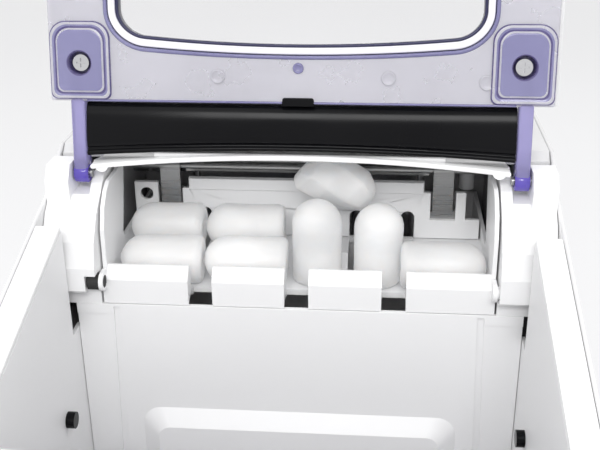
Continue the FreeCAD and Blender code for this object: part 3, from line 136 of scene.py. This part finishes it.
def ramp(tree, source, low, high, start=0.3, end=0.7):
    """Spreads a 0 to 1 source between two colours or two numbers."""
    node = tree.nodes.new("ShaderNodeValToRGB")
    a, b = [(v, v, v) if isinstance(v, (int, float)) else v for v in (low, high)]
    node.color_ramp.elements[0].position = start
    node.color_ramp.elements[1].position = end
    node.color_ramp.elements[0].color = (*a, 1)
    node.color_ramp.elements[1].color = (*b, 1)
    tree.links.new(source, node.inputs["Fac"])
    return node.outputs["Color"]


def bump(tree, source, strength, distance):
    node = tree.nodes.new("ShaderNodeBump")
    node.inputs["Strength"].default_value = strength
    node.inputs["Distance"].default_value = distance
    tree.links.new(source, node.inputs["Height"])
    tree.links.new(node.outputs["Normal"], tree.nodes["Principled BSDF"].inputs["Normal"])


def vary(tree, label, source, low, high, start=0.3, end=0.7):
    tree.links.new(ramp(tree, source, low, high, start, end), tree.nodes["Principled BSDF"].inputs[label])


def moulded(name, colour, roughness, grain=900.0, depth=0.3, spread=0.02, **inputs):
    """Injection-moulded plastic: slight shade drift, patchy gloss and a fine grain."""
    paint, tree = new_material(name, colour, roughness, **inputs)
    drift = noise(tree, 14.0, 3.0)
    darker = tuple(max(c - spread, 0) for c in colour)
    vary(tree, "Base Color", drift, darker, colour)
    vary(tree, "Roughness", noise(tree, 45.0), roughness * 0.85, min(roughness * 1.2, 1))
    bump(tree, noise(tree, grain, 2.0), depth, 0.02 * MM)
    return paint


def brushed(name, colour, roughness):
    """Rolled metal with fine lines along X."""
    paint, tree = new_material(name, colour, roughness, Metallic=1.0)
    lines = noise(tree, 1400.0, 3.0, (0.02, 1, 1))
    vary(tree, "Roughness", lines, roughness * 0.7, roughness * 1.5)
    vary(tree, "Base Color", noise(tree, 60.0), tuple(c * 0.88 for c in colour), colour)
    bump(tree, lines, 0.15, 0.02 * MM)
    return paint


def rubber(name, colour, roughness=0.75):
    paint, tree = new_material(name, colour, roughness)
    vary(tree, "Base Color", noise(tree, 80.0), colour, tuple(c * 1.6 + 0.004 for c in colour))
    vary(tree, "Roughness", noise(tree, 200.0), roughness * 0.85, roughness)
    bump(tree, noise(tree, 2200.0, 2.0), 0.4, 0.04 * MM)
    return paint


def clear_plastic(name, colour, roughness, transmission, haze=0.06, wave=0.05):
    """Tinted clear moulding: cloudy patches and slow waves in the surface."""
    paint, tree = new_material(name, colour, roughness, Transmission_Weight=transmission, IOR=1.49)
    cloud = noise(tree, 26.0, 4.0)
    vary(tree, "Base Color", cloud, tuple(max(c - haze, 0) for c in colour), colour)
    vary(tree, "Roughness", noise(tree, 60.0), roughness * 0.7, roughness * 1.4)
    bump(tree, noise(tree, 38.0, 1.0), wave, 0.5 * MM)
    return paint


def ice_material():
    """Cloudy ice: milky core, wet skin, slow surface waves, and a faint painted glow standing in for light
    scattered inside.
    """
    paint, tree = new_material("cloudy_ice", (0.93, 0.94, 0.95), 0.3, IOR=1.31)
    shader = tree.nodes["Principled BSDF"]
    shader.inputs["Subsurface Weight"].default_value = 1.0
    shader.inputs["Subsurface Radius"].default_value = (0.014, 0.015, 0.016)
    shader.inputs["Subsurface Scale"].default_value = 1.0
    # Faint white emission: painted glow that stands in for light scattered through the ice; the ice itself
    # gives no light.
    shader.inputs["Emission Color"].default_value = (0.97, 0.98, 1.0, 1)
    shader.inputs["Emission Strength"].default_value = 0.05
    streaks = noise(tree, 60.0, 5.0, (0.5, 1, 1))
    vary(tree, "Base Color", streaks, (0.87, 0.875, 0.88), (0.985, 0.985, 0.99), 0.35, 0.62)
    vary(tree, "Transmission Weight", noise(tree, 32.0, 2.0), 0.05, 0.4)
    vary(tree, "Roughness", noise(tree, 60.0, 2.0), 0.28, 0.5)
    bump(tree, noise(tree, 130.0, 3.0), 0.35, 0.5 * MM)
    return paint


def lamp(name, colour, strength):
    paint, tree = new_material(name, colour, 0.25)
    shader = tree.nodes["Principled BSDF"]
    shader.inputs["Emission Color"].default_value = (*colour, 1)
    shader.inputs["Emission Strength"].default_value = strength
    vary(tree, "Base Color", noise(tree, 300.0), tuple(c * 0.8 for c in colour), colour)
    return paint


def make_materials():
    return {
        "casing_white": moulded("casing_gloss", (0.82, 0.82, 0.825), 0.22, 500.0, 0.12, Coat_Weight=0.3),
        "liner_white": moulded("liner_satin", (0.955, 0.955, 0.96), 0.38, spread=0.01),
        # Chamber liner grey: partly the plastic's own grey and partly painted shade that darkens the unlit
        # chamber inside.
        "liner_dark": moulded("liner_grey_and_painted_shade", (0.5, 0.5, 0.51), 0.5, spread=0.03),
        "tint_clear": clear_plastic("lavender_clear", (0.88, 0.87, 0.935), 0.3, 0.55, 0.05, 0.015),
        "violet_pad": clear_plastic("violet_pad", (0.36, 0.35, 0.60), 0.14, 0.45),
        "violet_arm": clear_plastic("violet_arm", (0.44, 0.41, 0.72), 0.12, 0.5),
        "violet_deep": clear_plastic("violet_deep", (0.22, 0.17, 0.70), 0.12, 0.35),
        # Darkest violet: painted shade for the pads' steep outer walls, step faces and screw-well walls.
        "violet_painted_edge_shade": clear_plastic("violet_painted_edge_shade", (0.13, 0.11, 0.27), 0.12, 0.3),
        "navy": moulded("navy_line", (0.02, 0.02, 0.07), 0.3, spread=0.005),
        "black_gloss": moulded("piano_black", (0.005, 0.005, 0.006), 0.16, 300.0, 0.06, 0.002,
                               Specular_IOR_Level=0.13),
        "bead_white": moulded("bead_soft", (0.88, 0.87, 0.92), 0.45),
        "pane": clear_plastic("pane_clear", (0.99, 0.99, 0.995), 0.03, 1.0, 0.01),
        "stainless": brushed("stainless_strip", (0.42, 0.42, 0.42), 0.3),
        "screw_chrome": brushed("bright_plate", (0.62, 0.62, 0.64), 0.16),
        "copper_tube": brushed("drawn_copper", (0.72, 0.36, 0.22), 0.28),
        "alu_fins": brushed("mill_fins", (0.72, 0.73, 0.75), 0.35),
        "black_rubber": rubber("black_rubber_matt", (0.018, 0.018, 0.018)),
        "black_paint": moulded("black_enamel", (0.02, 0.02, 0.022), 0.35, 700.0, 0.4, 0.006),
        "zinc_pan": brushed("zinc_sheet", (0.55, 0.56, 0.57), 0.42),
        "foam": rubber("foam_cells", (0.82, 0.78, 0.66), 0.9),
        "ice": ice_material(),
        "silicone": clear_plastic("milky_hose", (0.9, 0.91, 0.91), 0.3, 0.5),
        "board_green": moulded("solder_mask", (0.03, 0.16, 0.07), 0.35, 800.0, 0.3, 0.01),
        "light_green": lamp("green_lamp", (0.05, 0.9, 0.3), 6.0),
        "key_grey": moulded("key_satin", (0.70, 0.71, 0.73), 0.3),
    }


# ---- CAD nodes that stay: rounded edges and their material ----
BEVELS = {
    "water_tray": 0.5, "divider_panel": 0.5, "cheek_left": 1.6, "cheek_right": 1.6, "pusher_plate": 0.4,
    "mouth_strip": 0.6, "bay_frame": 0.6, "bin_tub": 0.6, "outer_shell": 0.7, "rear_deck": 0.5,
    "rear_panel": 0.3, "control_panel": 0.3, "lid_cover": 0.7, "lid_beam": 0.7, "beam_tab": 0.3,
    "window_seal": 0.5, "lid_liner": 0.5, "hanger_rail": 0.15, "pusher_hangers": 0.2, "ice_basket": 0.5,
    "chamber": 0.4, "power_button": 0.4, "size_button": 0.4, "base_pan": 0.4, "gear_motor": 0.5,
}


def round_edges(piece, width, segments=3, angle=32.0):
    weld = piece.modifiers.new("weld", "WELD")
    weld.merge_threshold = 0.004 * MM
    bevel = piece.modifiers.new("bevel", "BEVEL")
    bevel.width = width * MM
    bevel.segments = segments
    bevel.limit_method = "ANGLE"
    bevel.angle_limit = math.radians(angle)
    bevel.harden_normals = False


def dress_nodes(paints):
    slots = {s["node"]: s["material_slot"] for s in frame["record"]["subparts"]}
    for name, piece in frame["nodes"].items():
        paint = paints[slots[name]]
        if not piece.material_slots:
            piece.data.materials.append(paint)
        for material_slot in piece.material_slots:
            material_slot.material = paint
        if name in BEVELS:
            round_edges(piece, BEVELS[name])


# ---- mesh helpers ----
def mesh_object(name, points, faces):
    mesh = bpy.data.meshes.new(name)
    mesh.from_pydata([tuple(p) for p in points], [], faces)
    mesh.validate()
    build = bmesh.new()
    build.from_mesh(mesh)
    bmesh.ops.recalc_face_normals(build, faces=build.faces)
    build.to_mesh(mesh)
    build.free()
    thing = bpy.data.objects.new(name, mesh)
    bpy.context.collection.objects.link(thing)
    return thing


def new_piece(name, points, faces, paint, body, replaces=()):
    piece = mesh_object(name, points, faces)
    piece.data.materials.append(paint)
    for polygon in piece.data.polygons:
        polygon.use_smooth = True
    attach(piece, body)
    if replaces:
        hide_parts(*replaces)
    return piece


def skin(rings, caps=(True, True), closed_run=False):
    """Quads between equal loops of points; the run is capped or joined end to end."""
    count = len(rings[0])
    points = [p for loop in rings for p in loop]
    faces = []
    runs = len(rings) if closed_run else len(rings) - 1
    for i in range(runs):
        a, b = i * count, ((i + 1) % len(rings)) * count
        for j in range(count):
            k = (j + 1) % count
            faces.append((a + j, a + k, b + k, b + j))
    if not closed_run:
        if caps[0]:
            faces.append(tuple(range(count)))
        if caps[1]:
            faces.append(tuple(range((len(rings) - 1) * count, len(rings) * count)))
    return points, faces


def soft_edges(piece, width, segments=3, angle=30.0):
    bevel = piece.modifiers.new("bevel", "BEVEL")
    bevel.width = width * MM
    bevel.segments = segments
    bevel.limit_method = "ANGLE"
    bevel.angle_limit = math.radians(angle)
    normals = piece.modifiers.new("normals", "WEIGHTED_NORMAL")
    normals.keep_sharp = True
    return piece


def loose_boxes(node):
    """Lowest and highest corner of each separate solid in a CAD node, from left to right."""
    build = bmesh.new()
    build.from_mesh(frame["nodes"][node].data)
    bmesh.ops.remove_doubles(build, verts=build.verts, dist=0.002 * MM)
    build.verts.ensure_lookup_table()
    seen, boxes = set(), []
    for start in build.verts:
        if start in seen:
            continue
        stack, group = [start], []
        seen.add(start)
        while stack:
            vertex = stack.pop()
            group.append(vertex.co.copy())
            for edge in vertex.link_edges:
                other = edge.other_vert(vertex)
                if other not in seen:
                    seen.add(other)
                    stack.append(other)
        low = Vector([min(p[i] for p in group) for i in range(3)])
        high = Vector([max(p[i] for p in group) for i in range(3)])
        boxes.append((low, high))
    build.free()
    return sorted(boxes, key=lambda b: (b[0].x, b[0].z))


# ---- lid pieces, in millimetres in the open lid's own plane: across, out of its back, and along it ----
WINDOW_HALF = 84.7
WINDOW_LOW = 59.2
WINDOW_HIGH = 138.0
WINDOW_CORNER = 14.0
WINDOW_BOW = 4.6
LINER_FACE = -4.0
LINER_BACK = -1.6
LINER_LOW = 34.6
LINER_HIGH = 155.6
LINER_HALF = 115.6
RIM_HALF = 98.5
RIM_R = 0.55
SCREW_X = 101.3
SCREW_ALONGS = (52.0, 140.0)
WELL_R = 5.2
PAD_X = 101.0
PAD_HALF = 14.2
# Tint 2, the darkest violet, sits on the pads' outer walls, step faces and screw-well walls as painted shade.
PAD_TINTS = (2, 2, 0, 1, 2, 0, 1, 1, 2, 2, 2, 2)    # clear, violet or deep violet, from the rim to the well
ARM_X = 100.0
ARM_WIDE = 6.6
BEAM_LOW = 9.0
BEAM_HIGH = 34.0
BEAM_HALF = 99.5
BEAM_CROWN = 3.5


def lid_point(x, out, along):
    """Millimetres across, out of the lid's back and along it from the hinge, to the frame."""
    y = out * math.cos(LEAN) + along * math.sin(LEAN)
    z = along * math.cos(LEAN) - out * math.sin(LEAN)
    return HINGE + Vector((x, y, z)) * MM


def round_rect(centre, half, low, high, radii, bow=0.0, steps=14):
    """Outline of a rounded rectangle as (x, along) pairs; bow lifts the ends of its lower side.

    The straight sides are divided too, so that outlines of different sizes match point for point.
    """
    low_r, high_r = radii
    corners = [(half - low_r, low + low_r, low_r, -90), (half - high_r, high - high_r, high_r, 0),
               (-half + high_r, high - high_r, high_r, 90), (-half + low_r, low + low_r, low_r, 180)]
    arcs = [[(cx + radius * math.cos(math.radians(start + 90 * i / steps)),
              cz + radius * math.sin(math.radians(start + 90 * i / steps))) for i in range(steps + 1)]
            for cx, cz, radius, start in corners]
    outline = []
    for arc, following, parts in zip(arcs, arcs[1:] + arcs[:1], (12, 12, 12, 24)):
        a, b = arc[-1], following[0]
        outline += arc
        outline += [(a[0] + (b[0] - a[0]) * i / parts, a[1] + (b[1] - a[1]) * i / parts)
                    for i in range(1, parts)]
    middle = (low + high) / 2
    return [(centre + x, z + bow * (x / half) ** 2 * max(0.0, (middle - z) / (middle - low)))
            for x, z in outline]


def window_outline(offset):
    return round_rect(0.0, WINDOW_HALF + offset, WINDOW_LOW - offset, WINDOW_HIGH + offset,
                      (WINDOW_CORNER + offset, WINDOW_CORNER + offset), WINDOW_BOW)


def lid_band(name, profile, paint, replaces=()):
    """Frame swept round the window; the profile is pairs of (outward offset, out)."""
    rings = [[lid_point(x, out, z) for x, z in window_outline(offset)] for offset, out in profile]
    points, faces = skin(rings, closed_run=True)
    return new_piece(name, points, faces, paint, "lid", replaces)


def make_bead(paints):
    lid_band("bead_inner", [(-2.0, 2.7), (-2.0, -3.0), (-1.7, -3.5), (-0.9, -3.5), (-0.6, -3.0), (-0.6, 2.7)],
             paints["navy"], ["window_seal"])
    lid_band("bead_body", [(-0.6, 2.7), (-0.6, -3.9), (-0.3, -4.3), (0.0, -4.3), (0.1, -3.8), (0.3, -3.8),
                           (0.5, -4.4), (0.9, -4.75), (1.9, -4.75), (2.4, -4.4), (2.5, -3.8), (2.5, 2.7)],
             paints["bead_white"], ["window_seal"])
    lid_band("bead_groove", [(2.5, 0.0), (2.5, -3.85), (2.95, -3.85), (2.95, 0.0)],
             paints["navy"], ["window_seal"])
    lid_band("bead_lip", [(2.95, -3.8), (3.05, -4.6), (3.5, -4.95), (4.2, -4.7), (4.8, -3.95), (4.8, -3.2),
                          (2.95, -3.2)], paints["violet_pad"], ["lid_liner"])


def make_liner(paints):
    """Clear sheet round the window, with its corner pads, hinge arms, rim and small bosses."""
    hole = window_outline(2.95)
    edge = round_rect(0.0, LINER_HALF, LINER_LOW, LINER_HIGH, (1.0, 9.0))
    inset = round_rect(0.0, LINER_HALF - 0.6, LINER_LOW + 0.6, LINER_HIGH - 0.6, (1.0, 8.5))
    rings = [[lid_point(x, out, z) for x, z in line]
             for line, out in ((hole, LINER_BACK), (hole, LINER_FACE), (inset, LINER_FACE),
                               (edge, LINER_FACE + 0.5), (edge, LINER_BACK))]
    points, faces = skin(rings, closed_run=True)
    sheet = new_piece("liner_sheet", points, faces, paints["tint_clear"], "lid", ["lid_liner"])
    bore_wells(sheet)
    soft_edges(sheet, 0.2)
    for side, word in ((-1, "left"), (1, "right")):
        for number, along in enumerate(SCREW_ALONGS):
            make_pad("pad_%s_%d" % (word, number), side, along, number, paints)
        make_arm(word, side, paints)
    for name, x, along, radius in (("dimple", 0.0, 50.6, 2.5), ("boss_left", -37.0, 46.5, 3.4),
                                   ("boss_right", 41.0, 46.5, 3.4), ("boss_corner", 85.0, 45.0, 3.6)):
        make_boss(name, x, along, radius, paints)
    rings = []
    for i in range(61):
        x = -RIM_HALF + 2 * RIM_HALF * i / 60
        rings.append([lid_point(x, LINER_FACE + RIM_R * math.cos(a), LINER_LOW + 0.3 + RIM_R * math.sin(a))
                      for a in [math.radians(45 * k) for k in range(8)]])
    points, faces = skin(rings)
    new_piece("liner_rim", points, faces, paints["violet_pad"], "lid", ["lid_liner"])


def bore_wells(sheet):
    """Cuts the four screw wells through the sheet, so that the screw heads show."""
    points, faces = [], []
    for side in (-1, 1):
        for along in SCREW_ALONGS:
            rings = [[lid_point(side * SCREW_X + WELL_R * math.cos(a), out, along + WELL_R * math.sin(a))
                      for a in [math.radians(7.5 * k) for k in range(48)]] for out in (-7.0, 2.0)]
            more_points, more_faces = skin(rings)
            faces += [tuple(i + len(points) for i in face) for face in more_faces]
            points += more_points
    cutter = mesh_object("wells", points, faces)
    cut = sheet.modifiers.new("cut", "BOOLEAN")
    cut.operation = "DIFFERENCE"
    cut.object = cutter
    cut.solver = "EXACT"
    bpy.context.view_layer.update()
    bored = bpy.data.meshes.new_from_object(sheet.evaluated_get(bpy.context.evaluated_depsgraph_get()))
    sheet.modifiers.clear()
    sheet.data = bored
    bpy.data.objects.remove(cutter)


def make_pad(name, side, along, number, paints):
    """Corner pad with stepped outlines and the well of a screw."""
    low = along - 16.6 if number == 0 else along - 17.0
    high = along + 19.0 if number == 0 else along + 14.5
    steps = [(0.0, -3.3), (0.0, -4.6), (-0.5, -5.1), (-1.6, -5.2), (-2.4, -4.7), (-3.2, -4.7), (-3.9, -5.2),
             (-4.6, -5.4)]
    rings = []
    for offset, out in steps:
        outline = round_rect(side * PAD_X, PAD_HALF + offset, low - offset, high + offset,
                             (3.0, 8.0 + offset * 0.5))
        rings.append([lid_point(x, out, z) for x, z in outline])
    count = len(rings[0])
    last = round_rect(side * PAD_X, PAD_HALF - 4.6, low + 4.6, high - 4.6, (3.0, 5.7))
    turns = [math.atan2(z - along, x - side * SCREW_X) for x, z in last]
    for radius, out in ((5.9, -5.35), (5.4, -5.0), (4.9, -3.0), (4.8, 2.9)):
        rings.append([lid_point(side * SCREW_X + radius * math.cos(t), out, along + radius * math.sin(t))
                      for t in turns])
    points, faces = skin(rings, caps=(False, True))
    pad = new_piece(name, points, faces, paints["tint_clear"], "lid", ["lid_liner"])
    pad.data.materials.append(paints["violet_pad"])
    pad.data.materials.append(paints["violet_painted_edge_shade"])
    # The darkest violet on the outer walls, step faces and well walls is painted shade.
    for index, polygon in enumerate(pad.data.polygons):
        polygon.material_index = PAD_TINTS[min(index // count, len(PAD_TINTS) - 1)]
    soft_edges(pad, 0.15, 2, 40.0)


def make_arm(word, side, paints):
    rings = []
    for along, shrink in ((0.0, 0.5), (0.6, 0.0), (20.0, 0.0), (40.0, 0.0), (46.0, 0.4)):
        x0, x1 = ARM_X + shrink, ARM_X + ARM_WIDE - shrink
        outline = []
        for cx, cy, start in ((x1 - 1.2, 3.6, 0), (x0 + 1.2, 3.6, 90),
                              (x0 + 1.2, -2.8, 180), (x1 - 1.2, -2.8, 270)):
            for i in range(5):
                a = math.radians(start + 22.5 * i)
                outline.append((cx + 1.2 * math.cos(a), cy + 1.2 * math.sin(a)))
        rings.append([lid_point(side * x, out, along) for x, out in outline])
    points, faces = skin(rings)
    new_piece("arm_" + word, points, faces, paints["violet_arm"], "lid", ["lid_liner"])
    rings = []
    near, far = ARM_X - 0.15, ARM_X + ARM_WIDE + 0.15
    for x, radius in ((near, 2.3), (near, 4.0), (near + 0.5, 4.6), (far - 0.5, 4.6), (far, 4.0), (far, 2.3)):
        rings.append([HINGE + Vector((side * x, radius * math.cos(a), radius * math.sin(a))) * MM
                      for a in [math.radians(10 * k) for k in range(36)]])
    points, faces = skin(rings, closed_run=True)
    new_piece("barrel_" + word, points, faces, paints["violet_deep"], "lid", ["lid_liner"])


def make_boss(name, x, along, radius, paints):
    rings = []
    for r, out in ((radius, -3.8), (radius, -4.3), (radius - 0.5, -4.7), (radius - 1.0, -4.3),
                   (radius * 0.45, -4.1)):
        rings.append([lid_point(x + r * math.cos(a), out, along + r * math.sin(a))
                      for a in [math.radians(12 * k) for k in range(30)]])
    points, faces = skin(rings)
    paint = paints["violet_pad"] if name == "dimple" else paints["tint_clear"]
    new_piece(name, points, faces, paint, "lid", ["lid_liner"])


def make_beam(paints):
    """Cross beam: sloping top facet, long curved face, a groove and a rib along the arched lower edge."""
    profile = [(12.0, 9.2), (-3.7, 9.0), (-4.4, 9.4), (-4.5, 10.4), (-4.1, 11.1), (-3.3, 11.4), (-3.1, 12.3),
               (-3.5, 12.9), (-4.0, 13.4), (-4.2, 16.0), (-4.1, 20.0), (-3.8, 24.0), (-3.2, 28.0),
               (-2.2, 31.5), (-1.0, 33.4), (0.4, 34.0), (12.0, 34.0)]
    rings = []
    for i in range(49):
        x = -BEAM_HALF + 2 * BEAM_HALF * i / 48
        crown = BEAM_CROWN * (1 - (x / BEAM_HALF) ** 2)
        rings.append([lid_point(x, out, z + crown * (BEAM_HIGH - z) / (BEAM_HIGH - BEAM_LOW))
                      for out, z in profile])
    points, faces = skin(rings)
    beam = new_piece("beam_face", points, faces, paints["black_gloss"], "lid", ["lid_beam"])
    soft_edges(beam, 0.25, 2, 50.0)
    tab_line = [(-7.6, 33.2), (7.6, 33.2), (7.2, 36.6), (6.6, 37.2), (-6.6, 37.2), (-7.2, 36.6)]
    rings = [[lid_point(x, out, z) for x, z in tab_line] for out in (-1.2, -4.7)]
    points, faces = skin(rings)
    tab = new_piece("tab", points, faces, paints["black_gloss"], "lid", ["beam_tab"])
    soft_edges(tab, 0.4, 3)


# ---- ice ----
def ice_rings(length, radius, seed, bore=3.0):
    """Lathe rings of a bullet along +X from its flat, hollow end, roughened by slow noise."""
    profile = [(-length / 2 + 15.0, 0.4), (-length / 2 + 13.0, bore * 0.8), (-length / 2 + 2.0, bore),
               (-length / 2 + 0.4, bore + 0.5), (-length / 2, bore + 1.6), (-length / 2, radius - 3.0),
               (-length / 2 + 0.5, radius - 1.4), (-length / 2 + 1.8, radius - 0.3)]
    barrel = length / 2 - radius
    profile += [(-length / 2 + 3.5 + (barrel + length / 2 - 3.5) * i / 8, radius) for i in range(9)]
    profile += [(barrel + radius * math.sin(math.radians(a)), radius * math.cos(math.radians(a)))
                for a in (10, 20, 30, 40, 50, 60, 70, 78, 84, 88)]
    rings = []
    for x, r in profile:
        ring = []
        for k in range(40):
            a = math.radians(9 * k)
            spot = Vector((x, r * math.cos(a), r * math.sin(a)))
            wave = noise_at(spot * 0.07 + Vector((seed * 7.3, seed, 0))) - 0.15
            ring.append(spot * (1 + 0.035 * wave) if r > bore + 1 else spot)
        rings.append(ring)
    return rings


def make_ice(paints):
    middle = PIVOT.x
    for number, (low, high) in enumerate(loose_boxes("ice_bullets")):
        centre = (low + high) / 2
        size = (high - low) / MM
        lying = size.x > size.z
        length, radius = (size.x, size.z / 2) if lying else (size.z, size.x / 2)
        rings = ice_rings(length, radius - 0.1, number)
        if not lying:
            turn = Matrix.Rotation(math.radians(-90), 3, "Y")
        elif centre.x > middle + 0.04:
            turn = Matrix.Identity(3)
        else:
            turn = Matrix.Rotation(math.radians(180), 3, "Z")
        melted = radius < 11
        if melted:
            rings = shard_rings()
            turn = Matrix.Rotation(math.radians(24), 3, "Y")
            centre = centre + Vector((0, 0, 0.4)) * MM
        points, faces = skin([[centre + (turn @ p) * MM for p in ring] for ring in rings])
        piece = new_piece("ice_%d" % number, points, faces, paints["ice"], "tray", ["ice_bullets"])
        if melted:
            soft_edges(piece, 1.1, 3, 8.0)


def shard_rings():
    """Half-melted lump: six blunt facets round a lopsided bar, turning a little along it."""
    rings = []
    for x, reach, rise in ((-19.0, 0.42, -2.0), (-14.5, 0.88, -0.6), (-3.0, 1.0, 0.8), (9.0, 0.9, 0.4),
                           (16.5, 0.62, -1.4), (19.0, 0.3, -2.4)):
        angles = [math.radians(60 * k + 14 + 1.1 * x) for k in range(6)]
        rings.append([Vector((x + 4.0 * math.sin(a) * reach, 10.6 * reach * math.cos(a),
                              rise + 13.0 * reach * math.sin(a))) for a in angles])
    return rings


make_camera()
make_light()
make_floor()
PAINTS = make_materials()
dress_nodes(PAINTS)
make_bead(PAINTS)
make_liner(PAINTS)
make_beam(PAINTS)
make_ice(PAINTS)
